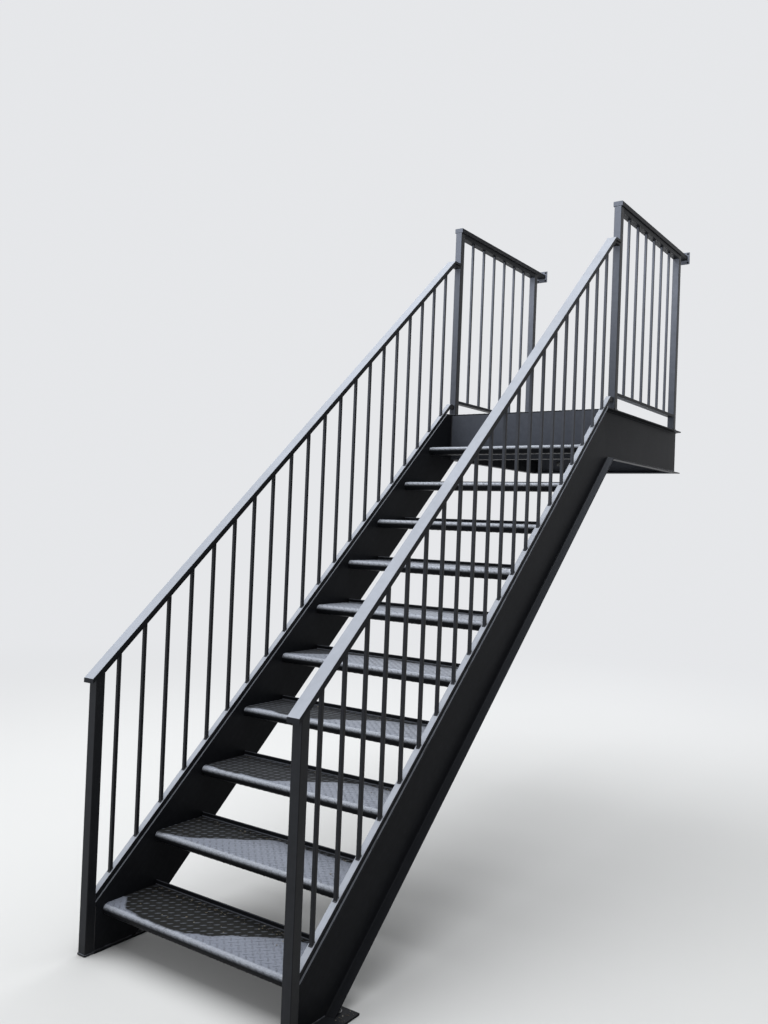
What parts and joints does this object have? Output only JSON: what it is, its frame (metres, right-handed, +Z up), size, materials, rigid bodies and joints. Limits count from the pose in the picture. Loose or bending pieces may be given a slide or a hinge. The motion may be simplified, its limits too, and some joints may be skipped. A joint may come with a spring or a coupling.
{
  "type": "exterior steel stair with landing",
  "caption": "Straight black steel stair with open patterned-plate treads, flat handrails, thin square balusters and a small railed landing that fastens to a wall.",
  "frame": {"origin": "middle of the wall ledger's back face, on the wall; the landing's floor is 130 mm above it and the ground 2065 mm below it", "axes": "+Z up, +Y up the flight and into the wall, +X to the right of a person who climbs it"},
  "size_m": [1.058, 3.525, 3.2855],
  "materials": {
    "frame_paint": "satin black brushed paint on steel",
    "tread_paint": "satin black paint on raised-pattern plate, worn and dusty"
  },
  "bodies": {
    "root": {"stringer_left": "frame_paint", "stringer_right": "frame_paint", "landing_channel_left": "frame_paint", "landing_channel_right": "frame_paint", "newel_left": "frame_paint", "newel_right": "frame_paint", "handrail_left": "frame_paint", "handrail_right": "frame_paint", "bottom_rail_left": "frame_paint", "bottom_rail_right": "frame_paint", "balusters_left": "frame_paint", "balusters_right": "frame_paint", "tread_angles_left": "frame_paint", "tread_angles_right": "frame_paint", "landing_header": "frame_paint", "wall_ledger": "frame_paint", "deck_bearers": "frame_paint", "deck_joist": "frame_paint", "post_front_left": "frame_paint", "post_front_right": "frame_paint", "post_rear_left": "frame_paint", "post_rear_right": "frame_paint", "guard_cap_left": "frame_paint", "guard_cap_right": "frame_paint", "guard_subrail_left": "frame_paint", "guard_subrail_right": "frame_paint", "guard_bottom_rail_left": "frame_paint", "guard_bottom_rail_right": "frame_paint", "guard_balusters_left": "frame_paint", "guard_balusters_right": "frame_paint", "wall_rail_plates": "frame_paint", "base_plate_left": "frame_paint", "base_plate_right": "frame_paint", "tread_01": "tread_paint", "tread_02": "tread_paint", "tread_03": "tread_paint", "tread_04": "tread_paint", "tread_05": "tread_paint", "tread_06": "tread_paint", "tread_07": "tread_paint", "tread_08": "tread_paint", "tread_09": "tread_paint", "tread_10": "tread_paint", "landing_deck": "tread_paint"}
  },
  "joints": []
}
